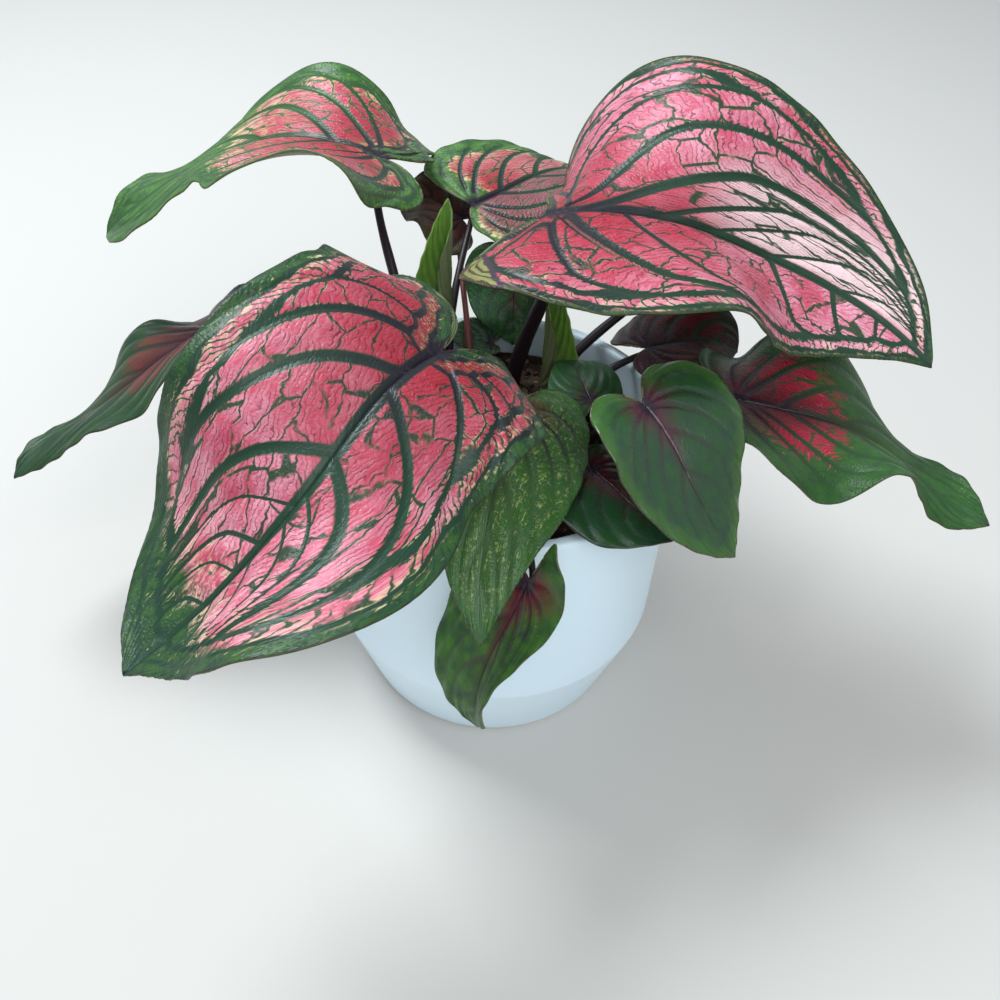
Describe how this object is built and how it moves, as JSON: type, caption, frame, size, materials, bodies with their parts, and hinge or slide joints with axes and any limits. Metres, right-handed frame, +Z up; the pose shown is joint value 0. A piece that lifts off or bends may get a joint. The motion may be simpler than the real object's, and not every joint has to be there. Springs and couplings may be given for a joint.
{
  "type": "potted caladium plant",
  "caption": "Caladium with heart-shaped pink, green and dark red leaves on thin dark stalks, in soil in a round white pot with a tapered foot.",
  "frame": {"origin": "centre of the flat underside of the pot, on the surface it stands on", "axes": "+Z up out of the pot; -Y towards the viewer of the picture; +X to that viewer's right"},
  "size_m": [0.3943, 0.3016, 0.2391],
  "materials": {
    "crimson_far_right_leaf": "satin, crimson panels in maroon, green outer half",
    "dark_far_left_leaf": "satin, dark green with dull red streaks",
    "dark_rear_leaf": "satin, dark brown-green with a red touch at the stalk",
    "dark_under_glossy_leaf": "satin, dark green with a red centre",
    "glossy_front_right_leaf": "satin, glossy green with purple-red veins and a lime edge",
    "hanging_centre_leaf": "satin, matt green with a red midrib",
    "hidden_right_rear_leaf": "satin, dark green",
    "low_front_leaf": "satin, green with a red centre and yellow speckles",
    "low_rear_leaf": "satin, dark green",
    "maroon_right_rear_leaf": "satin, dark maroon with red panels and a grey-green edge",
    "pink_front_left_leaf": "satin, hot pink panels between dark green veins, green speckled margin",
    "pink_right_leaf": "satin, pink and whitish panels between green veins, green speckled margin",
    "rear_centre_leaf": "satin, pale pink panels, green veins and margin, glossy grey-pink near half",
    "small_inner_leaf": "satin, dark green with a reddish centre",
    "speckled_front_leaf": "satin, green densely speckled with cream, pale midrib, red-brown base",
    "twisted_rear_left_leaf": "satin, pink centre, wide green margin",
    "rolled_left_leaf": "satin, light lime green",
    "rolled_right_leaf": "satin, light lime green",
    "white_pot": "satin white glaze",
    "potting_soil": "matt, fibrous",
    "black_purple_stalk": "satin",
    "red_brown_stalk": "satin"
  },
  "bodies": {
    "root": {"blade_crimson_far_right": "crimson_far_right_leaf", "blade_dark_far_left": "dark_far_left_leaf", "blade_dark_rear": "dark_rear_leaf", "blade_dark_under_glossy": "dark_under_glossy_leaf", "blade_glossy_front_right": "glossy_front_right_leaf", "blade_hanging_centre": "hanging_centre_leaf", "blade_hidden_right_rear": "hidden_right_rear_leaf", "blade_low_front": "low_front_leaf", "blade_low_rear": "low_rear_leaf", "blade_maroon_right_rear": "maroon_right_rear_leaf", "blade_pink_front_left": "pink_front_left_leaf", "blade_pink_right": "pink_right_leaf", "blade_rear_centre": "rear_centre_leaf", "blade_small_inner": "small_inner_leaf", "blade_speckled_front": "speckled_front_leaf", "blade_twisted_rear_left": "twisted_rear_left_leaf", "leaf_rolled_left": "rolled_left_leaf", "leaf_rolled_right": "rolled_right_leaf", "pot": "white_pot", "soil": "potting_soil", "stalk_crimson_far_right": "black_purple_stalk", "stalk_dark_far_left": "black_purple_stalk", "stalk_dark_rear": "red_brown_stalk", "stalk_dark_under_glossy": "black_purple_stalk", "stalk_glossy_front_right": "black_purple_stalk", "stalk_hanging_centre": "black_purple_stalk", "stalk_hidden_right_rear": "black_purple_stalk", "stalk_low_front": "black_purple_stalk", "stalk_low_rear": "black_purple_stalk", "stalk_maroon_right_rear": "black_purple_stalk", "stalk_pink_front_left": "black_purple_stalk", "stalk_pink_right": "black_purple_stalk", "stalk_rear_centre": "black_purple_stalk", "stalk_rolled_left": "black_purple_stalk", "stalk_rolled_right": "black_purple_stalk", "stalk_small_inner": "black_purple_stalk", "stalk_speckled_front": "black_purple_stalk", "stalk_twisted_rear_left": "black_purple_stalk"}
  },
  "joints": []
}
